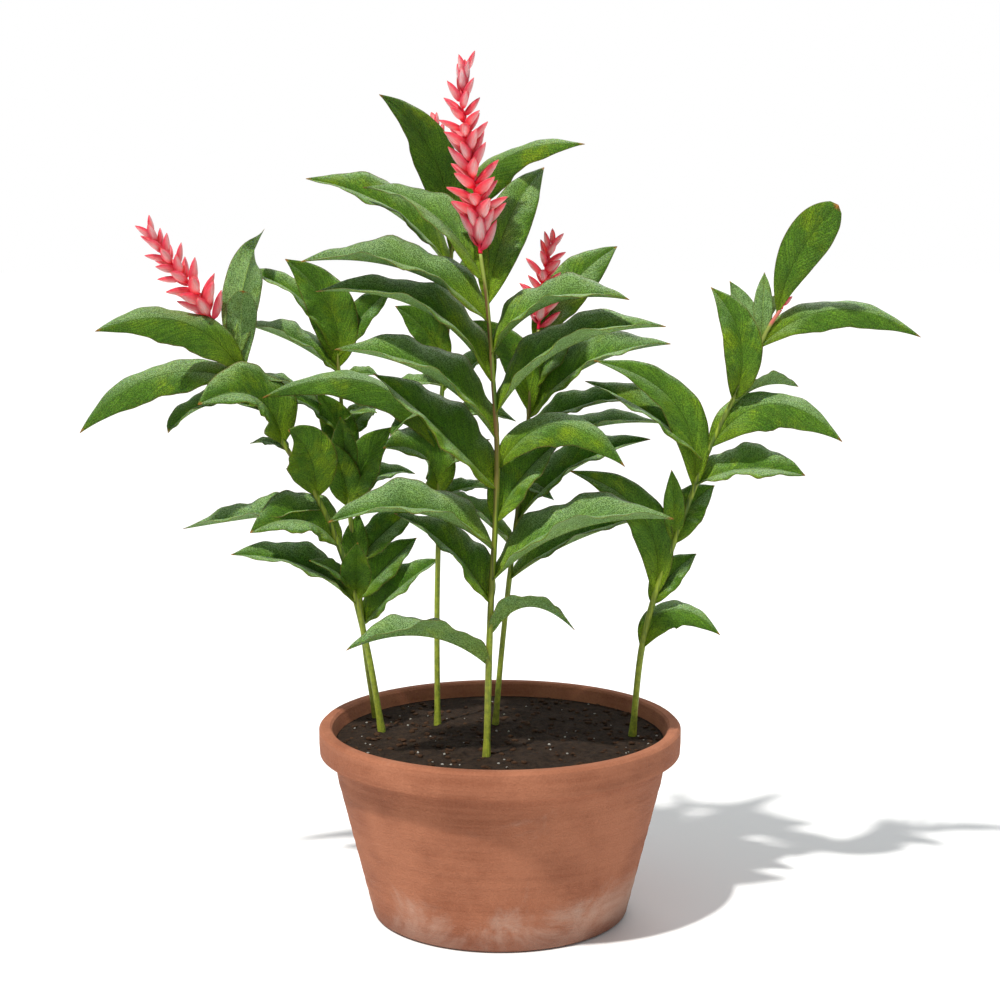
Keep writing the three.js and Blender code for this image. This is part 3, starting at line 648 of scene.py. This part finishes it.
def leaf_face(name, deep, bright, rib_colour, bloom, all_round, rough, vein_depth, constants):
    """One face of the blade. Its map runs across the blade in U; V is the leaf's number plus the
    share of its length. It carries a fine grainy pale bloom, which is painted sheen where the face
    looks up; on the underside part of it is the face's own paler colour all round."""
    material, tree, shader = new_material(name, **constants)
    outward = tree.nodes.new("ShaderNodeTexCoord").outputs["Normal"]
    looks_up = add_node(tree, "ShaderNodeSeparateXYZ", {0: outward})
    place = tree.nodes.new("ShaderNodeTexCoord").outputs["Object"]
    split, off_middle, along = blade_map(tree)
    own = add_node(tree, "ShaderNodeTexWhiteNoise", {"W": sum_up(tree, "FLOOR", split.outputs["Y"])},
                   noise_dimensions="1D").outputs["Value"]
    body = mottled(tree, place, 16.0, 430.0, deep, bright)
    specks = add_node(tree, "ShaderNodeTexNoise", {"Vector": place, "Scale": 560.0, "Detail": 1.0})
    speckle = specks.outputs["Fac"]
    tone = blended(tree, sum_up(tree, "MULTIPLY", own, 0.55), body["Colour"], bright)
    young = sum_up(tree, "MULTIPLY", between(tree, along, 0.02, 0.38, 1.0, 0.0), 0.6)
    # Painted glow: soft random patches turned yellow-green stand in for sunlight shining through the blade.
    painted_glow_patches = add_node(tree, "ShaderNodeTexNoise",
                     {"Vector": place, "Scale": 13.0, "Detail": 4.0, "Roughness": 0.65})
    painted_glow = sum_up(tree, "MULTIPLY", between(tree, painted_glow_patches.outputs["Fac"], 0.50, 0.68), 0.55)
    green = blended(tree, sum_up(tree, "MAXIMUM", young, painted_glow), tone, LEAF_YELLOW)
    slant = sum_up(tree, "MULTIPLY", sum_up(tree, "POWER", off_middle, 1.3), VEIN_SLANT)
    wander = sum_up(tree, "MULTIPLY", body["Patch"], 0.012)
    phase = sum_up(tree, "ADD", sum_up(tree, "SUBTRACT", along, slant), wander)
    vein_place = add_node(tree, "ShaderNodeCombineXYZ",
                          {0: sum_up(tree, "MULTIPLY", phase, VEINS), 1: off_middle, 2: split.outputs["Y"]})
    streaks = add_node(tree, "ShaderNodeTexNoise",
                       {"Vector": vein_place.outputs[0], "Scale": 1.0, "Detail": 3.0})
    vein = between(tree, streaks.outputs["Fac"], 0.38, 0.60)
    veined = blended(tree, sum_up(tree, "MULTIPLY", vein, 0.55), green, deep)
    # Painted shadow: soft random dark patches stand in for shadows cast by the leaves above.
    shadow_patches = add_node(tree, "ShaderNodeTexNoise",
                        {"Vector": place, "Scale": 11.0, "Detail": 6.0, "Roughness": 0.6})
    painted_shadow = between(tree, shadow_patches.outputs["Fac"], 0.50, 0.60, 0.0, 0.35)
    shadow_darkened = blended(tree, painted_shadow, veined, deep)
    # Along the midrib the upper face gets painted shade, a dark green line in its groove; the underside's
    # ridge gets its own paler green.
    rib = sum_up(tree, "MULTIPLY", between(tree, off_middle, 0.02, 0.075, 1.0, 0.0),
                 between(tree, along, 0.5, 1.0, 0.75, 0.2))
    # Painted sheen: the pale bloom is laid on by how far the face looks up; all_round is the share that is
    # the face's own colour.
    bloom_and_sheen = sum_up(tree, "MULTIPLY", between(tree, looks_up.outputs["Z"], 0.35, 0.95, all_round, 1.0),
                  between(tree, speckle, 0.36, 0.64, 0.25 * bloom, 0.95 * bloom))
    ribbed = blended(tree, rib, blended(tree, bloom_and_sheen, shadow_darkened, LEAF_BLOOM_AND_SHEEN), rib_colour)
    rim = sum_up(tree, "MULTIPLY", between(tree, off_middle, 0.955, 1.0), 0.7)
    rimmed = blended(tree, rim, ribbed, MARGIN_BROWN)
    towards_tip = sum_up(tree, "SUBTRACT", along, sum_up(tree, "MULTIPLY", off_middle, 0.02))
    tipped = blended(tree, between(tree, towards_tip, 0.955, 0.985), rimmed, DRY_TIP)
    shade = between(tree, speckle, 0.34, 0.66, 0.60, 1.40)
    colour = blended(tree, 1.0, tipped, shade, "MULTIPLY")
    relief = sum_up(tree, "ADD", sum_up(tree, "MULTIPLY", vein, 0.6), sum_up(tree, "MULTIPLY", speckle, 0.9))
    roughness = between(tree, body["Patch"], 0.0, 1.0, rough, rough + 0.12)
    surface(tree, shader, colour, roughness, relief, vein_depth)
    return material


LIGHT_THROUGH = {"Subsurface_Weight": 0.45, "Subsurface_Scale": 0.0012, "Subsurface_Radius": (0.5, 1.0, 0.06),
                 "Specular_Tint": (0.65, 0.95, 0.5, 1)}
LEAF_UPPER = leaf_face("leaf_upper_face", LEAF_DEEP, LEAF_BRIGHT, CREASE_SHADE_GREEN, 0.9, 0.0, 0.5, 0.0006,
                       {"Specular_IOR_Level": 0.25, **LIGHT_THROUGH})
LEAF_UNDER = leaf_face("leaf_underside", UNDER_DEEP, UNDER_PALE, RIDGE_GREEN, 0.55, 0.6, 0.62, 0.0006,
                       {"Specular_IOR_Level": 0.2, **LIGHT_THROUGH})


def blade_width(share, powers):
    """The blade's width at a share of its length, as a share of its greatest width."""
    first, second = powers
    peak = first / (first + second)
    full = peak ** first * (1 - peak) ** second
    open_share = share ** first * (1 - share) ** second / full * (1 - TIP_NARROWING * share ** 8)
    return max(open_share, STALK_SHARE * (1 - share) ** 0.5, 0.012)


def add_leaf(bm, run_layer, number, root, shape):
    """A flat slab of quads, one unit thick, bent into the blade in one go."""
    right, away, up, bow, width, turn, fold, twist = shape[:8]
    powers = BLUNT_POWERS if "blunt" in shape else WIDEST_POWERS
    reach = Vector((right, away, up))
    chord = reach.normalized()
    rise = (Vector((0, 0, 1)) - chord * chord.z).normalized()
    bend = root + reach * HIGHEST_AT + rise * 2 * bow
    end = root + reach
    grid = bmesh.ops.create_grid(bm, x_segments=BLADE_ACROSS, y_segments=BLADE_ALONG, size=1)["verts"]
    faces = list({face for vert in grid for face in vert.link_faces})
    lower = bmesh.ops.extrude_face_region(bm, geom=faces)["geom"]
    lower_verts = [g for g in lower if isinstance(g, bmesh.types.BMVert)]
    lower_faces = [g for g in lower if isinstance(g, bmesh.types.BMFace)]
    bmesh.ops.translate(bm, vec=(0, 0, -1), verts=lower_verts)
    slab = list({face for vert in grid + lower_verts for face in vert.link_faces})
    for face in slab if "young" in shape else lower_faces:
        face.material_index = 1
    bmesh.ops.recalc_face_normals(bm, faces=slab)
    for face in slab:
        for loop in face.loops:
            share = min(max((loop.vert.co.y + 1) / 2, 0), 0.9999)
            loop[run_layer].uv = ((loop.vert.co.x + 1) / 2, number + share)
    for vert in grid + lower_verts:
        side = math.copysign(abs(vert.co.x) ** 1.4, vert.co.x)
        share = (vert.co.y + 1) / 2
        underneath = vert.co.z < -0.5
        place = root.lerp(bend, share).lerp(bend.lerp(end, share), share)
        along = (bend - root).lerp(end - bend, share).normalized()
        lean = math.radians(turn + twist * (share - TWIST_FROM))
        facing = Vector((0, -math.sin(lean), math.cos(lean)))
        normal = (facing - along * facing.dot(along)).normalized()
        across = along.cross(normal)
        broad = blade_width(share, powers) * width
        half = broad / 2
        phase = WAVE_RATE * share + width + up + (WAVE_LAG if side > 0 else 0)
        ripple = FINE_WAVE_SHARE * math.sin(FINE_WAVE_RATE * phase + number)
        wave = EDGE_WAVE * broad * (math.sin(phase) + ripple) * side * side
        opening = min(1, share / OPEN_BY)
        opened = opening ** 2 * (3 - 2 * opening)
        rise_angle = math.radians(ROOT_FOLD + (fold - ROOT_FOLD) * opened + HALF_CURL * (0.5 - abs(side)))
        out = half * side * math.cos(rise_angle)
        lift = half * abs(side) * math.sin(rise_angle) + wave
        ridge = RIDGE_THICKNESS * math.exp(-((side / RIDGE_HALF_WIDTH) ** 2)) * (1 - share) ** 0.7
        depth = (BLADE_THICKNESS + ridge) if underneath else 0
        vert.co = (place + across * out + normal * (lift - depth)) * MM


def point_at_height(line, height):
    for a, b in zip(line, line[1:]):
        if b.z >= height:
            return a.lerp(b, (height - a.z) / (b.z - a.z))
    return line[-1]


leaf_number = 0
for name, (_, _, leaves) in CANES.items():
    leaves_bm = bmesh.new()
    run_layer = leaves_bm.loops.layers.uv.new("blade")
    for height, *shape in leaves:
        root = point_at_height(cane_lines[name], height + SOIL_LEVEL)
        add_leaf(leaves_bm, run_layer, leaf_number, root, shape)
        leaf_number += 1
    finished_piece(name + "_leaves", leaves_bm, [LEAF_UPPER, LEAF_UNDER], name)


# A flower spike is a row of waxy red bracts in a spiral round a slim stalk, which grows out of its cane's
# top. Each bract is boat-shaped, clasps the stalk at its foot, and is palest along its back and deep
# crimson at its foot. In the large spike they lean out furthest in two tiers.
BRACT_TURN = math.radians(137.5)
BRACT_ACROSS = 4
BRACT_ALONG = 7
BRACT_THICKNESS = 0.9
BRACT_WIDTH = 0.37
BRACT_KEEL = 1.3
BRACT_FLARE = 0.2
UPRIGHT_LEAN = 18
SPREAD_LEAN = 44
LEAN_SCATTER = 6
LENGTH_SCATTER = (0.9, 1.07)
LOWER_TIER_AT = 0.27
TIER_SPACING = 0.43
TOP_SHORTENING = 0.4
BRACT_CORAL = (1.0, 0.140, 0.172, 1)
BRACT_DEEP = (0.94, 0.012, 0.066, 1)
BRACT_PALE = (1.0, 0.53, 0.53, 1)
BRACT_TIP = (0.55, 0.13, 0.05, 1)
SPIKES = {
    "bloom_front": (56, 60, 7, 1, 15, [
        (-32, -141, 851), (-36, -147, 920), (-49, -154, 1003), (-60, -158, 1080), (-58, -160, 1141)]),
    "bloom_middle": (20, 44, 6, 1, 4, [
        (-71, 62, 934.2), (-80, 76, 985), (-98, 88, 1035), (-112, 96, 1070)]),
    "bloom_centre_right": (28, 51, 6, 1, 4, [
        (67, 64, 714), (72, 57, 770), (79, 50, 822), (90, 46, 864)]),
    "bloom_left": (35, 57, 6, 1, 5, [
        (-490.5, -4, 730), (-517, -5, 778), (-548, -6, 816), (-577, -7, 856), (-592, -8, 879)]),
    "bud_right": (8, 26, 6, 0.4, 0, [
        (478.8, -15.5, 754.2), (487, -4, 776), (494, 8, 800), (500, 20, 824)]),
}


def waxy_bract():
    material, tree, shader = new_material("waxy_bract", Specular_IOR_Level=0.3, Subsurface_Weight=0.6,
                                          Subsurface_Scale=0.004, Subsurface_Radius=(1.0, 0.35, 0.3))
    place = tree.nodes.new("ShaderNodeTexCoord").outputs["Object"]
    split, off_middle, along = blade_map(tree)
    body = mottled(tree, place, 70.0, 500.0, BRACT_CORAL, BRACT_PALE)
    fibre_place = add_node(tree, "ShaderNodeCombineXYZ",
                           {0: sum_up(tree, "MULTIPLY", split.outputs["X"], 13.0),
                            1: sum_up(tree, "MULTIPLY", split.outputs["Y"], 3.0)})
    fibres = add_node(tree, "ShaderNodeTexNoise",
                      {"Vector": fibre_place.outputs[0], "Scale": 1.0, "Detail": 3.0})
    fibre = between(tree, fibres.outputs["Fac"], 0.36, 0.62)
    mid_length = sum_up(tree, "MULTIPLY", between(tree, along, 0.10, 0.40),
                        between(tree, along, 0.75, 1.0, 1.0, 0.0))
    back = sum_up(tree, "MULTIPLY", between(tree, off_middle, 0.15, 0.85, 1.0, 0.0), mid_length)
    paled = blended(tree, sum_up(tree, "MULTIPLY", back, between(tree, fibre, 0.0, 1.0, 0.35, 1.0)),
                    blended(tree, 0.3, BRACT_CORAL, body["Colour"]), BRACT_PALE)
    foot = between(tree, along, 0.05, 0.46, 1.0, 0.0)
    edge = sum_up(tree, "MULTIPLY", between(tree, off_middle, 0.52, 0.98), 0.8)
    deepened = blended(tree, sum_up(tree, "MAXIMUM", foot, edge), paled, BRACT_DEEP)
    colour = blended(tree, between(tree, along, 0.94, 1.0, 0.0, 0.7), deepened, BRACT_TIP)
    relief = sum_up(tree, "ADD", fibre, sum_up(tree, "MULTIPLY", body["Grain"], 0.5))
    surface(tree, shader, colour, between(tree, body["Patch"], 0.0, 1.0, 0.40, 0.55), relief, 0.0005)
    return material


def add_bract(bm, run_layer, number, foot, outward, along, length, width):
    sideways = along.cross(outward).normalized()
    grid = bmesh.ops.create_grid(bm, x_segments=BRACT_ACROSS, y_segments=BRACT_ALONG, size=1)["verts"]
    faces = list({face for vert in grid for face in vert.link_faces})
    inner = bmesh.ops.extrude_face_region(bm, geom=faces)["geom"]
    inner_verts = [g for g in inner if isinstance(g, bmesh.types.BMVert)]
    bmesh.ops.translate(bm, vec=(0, 0, -1), verts=inner_verts)
    shell = list({face for vert in grid + inner_verts for face in vert.link_faces})
    bmesh.ops.recalc_face_normals(bm, faces=shell)
    for face in shell:
        for loop in face.loops:
            share = min(max((loop.vert.co.y + 1) / 2, 0), 0.9999)
            loop[run_layer].uv = ((loop.vert.co.x + 1) / 2, number + share)
    for vert in grid + inner_verts:
        side = vert.co.x
        share = (vert.co.y + 1) / 2
        depth = BRACT_THICKNESS if vert.co.z < -0.5 else 0
        open_share = max(0.03, math.sin(math.pi * share ** 0.85) ** 0.75)
        half = open_share * width / 2
        place = foot + along * share * length + outward * BRACT_FLARE * length * share ** 3
        keel = BRACT_KEEL * half * (1 - side * side)
        vert.co = (place + sideways * side * half + outward * (keel - depth)) * MM


WAXY_BRACT = waxy_bract()
draw = random.Random(7)
for name, (bracts, bract_length, stalk, spread, tier_lean, points) in SPIKES.items():
    spike_bm = bmesh.new()
    run_layer = spike_bm.loops.layers.uv.new("blade")
    line = smooth_path([Vector(point) + Vector((0, 0, SOIL_LEVEL)) for point in points], 3)
    rod_along(spike_bm, line, lambda fraction, z: stalk / 2 * (1 - 0.6 * fraction), 8)
    for i in range(bracts):
        fraction = (i + 0.5) / bracts
        at = min(int(fraction * (len(line) - 1)), len(line) - 2)
        foot = line[at].lerp(line[at + 1], fraction * (len(line) - 1) - at)
        axis = (line[at + 1] - line[at]).normalized()
        angle = i * BRACT_TURN
        across = Vector((math.cos(angle), math.sin(angle), 0))
        outward = (across - axis * across.dot(axis)).normalized()
        swell = math.sin(math.pi * (0.15 + 0.85 * fraction) ** 0.8)
        tier = tier_lean * math.cos(math.tau * (fraction - LOWER_TIER_AT) / TIER_SPACING)
        length = bract_length * (1 - TOP_SHORTENING * fraction ** 1.3) * draw.uniform(*LENGTH_SCATTER)
        opening = UPRIGHT_LEAN + (SPREAD_LEAN - UPRIGHT_LEAN) * swell + tier
        lean = math.radians(spread * (opening + draw.uniform(-LEAN_SCATTER, LEAN_SCATTER)))
        along = axis * math.cos(lean) + outward * math.sin(lean)
        lower = outward * math.cos(lean) - axis * math.sin(lean)
        add_bract(spike_bm, run_layer, i, foot, lower, along, length, length * BRACT_WIDTH)
    finished_piece(name + "_bracts", spike_bm, [WAXY_BRACT], name)


# The setting is a plain pale floor under soft studio light. The plant is seen from the photo's height
# and side, with a wider view that takes in the pot.
FLOOR_HALF_WIDTH = 30
FLOOR_GREY = (0.86, 0.86, 0.86, 1)
floor_bm = bmesh.new()
bmesh.ops.create_grid(floor_bm, x_segments=1, y_segments=1, size=FLOOR_HALF_WIDTH)
floor_mesh = bpy.data.meshes.new("floor")
floor_bm.to_mesh(floor_mesh)
floor_bm.free()
floor = bpy.data.objects.new("floor", floor_mesh)
bpy.context.scene.collection.objects.link(floor)
floor_material, _, floor_shader = new_material("pale_floor", Roughness=0.9, Specular_IOR_Level=0.1)
floor_shader.inputs["Base Color"].default_value = FLOOR_GREY
floor_mesh.materials.append(floor_material)

world = bpy.data.worlds.new("studio")
bpy.context.scene.world = world
world.use_nodes = True
world_tree = world.node_tree
sky = world_tree.nodes["Background"]
sky.inputs["Color"].default_value = (0.93, 0.97, 1.0, 1)
sky.inputs["Strength"].default_value = 0.44
backdrop = add_node(world_tree, "ShaderNodeBackground", {"Color": (1.0, 1.0, 1.0, 1), "Strength": 1.0})
seen = world_tree.nodes.new("ShaderNodeLightPath").outputs["Is Camera Ray"]
both = add_node(world_tree, "ShaderNodeMixShader", {0: seen, 1: sky.outputs[0], 2: backdrop.outputs[0]})
world_tree.links.new(both.outputs[0], world_tree.nodes["World Output"].inputs["Surface"])
bpy.context.scene.view_settings.view_transform = "Standard"


def lit_from(name, place, aim, lamp):
    holder = bpy.data.objects.new(name, lamp)
    bpy.context.scene.collection.objects.link(holder)
    holder.location = place
    holder.rotation_mode = "QUATERNION"
    holder.rotation_quaternion = (Vector(aim) - Vector(place)).to_track_quat("-Z", "Y")


key = bpy.data.lights.new("key_light", "SUN")
key.energy = 3.7
key.angle = math.radians(2.5)
key.color = (1.0, 0.98, 0.94)
lit_from("key_light", (-1.2, -1.5, 4.3), (0, 0, 0.9), key)
sheen = bpy.data.lights.new("sheen_light", "AREA")
sheen.shape = "DISK"
sheen.size = 2.0
sheen.energy = 40
lit_from("sheen_light", (0.9, 2.4, 3.2), (0, 0, 0.9), sheen)

CAMERA_HEIGHT = 1.255
CAMERA_BACK = 3.4308
CAMERA_PITCH = 8.6
CAMERA_LENS = 72
camera_data = bpy.data.cameras.new("camera")
camera_data.lens = CAMERA_LENS
camera = bpy.data.objects.new("camera", camera_data)
bpy.context.scene.collection.objects.link(camera)
camera.location = (0, -CAMERA_BACK, CAMERA_HEIGHT)
camera.rotation_euler = (math.radians(90 - CAMERA_PITCH), 0, 0)
bpy.context.scene.camera = camera
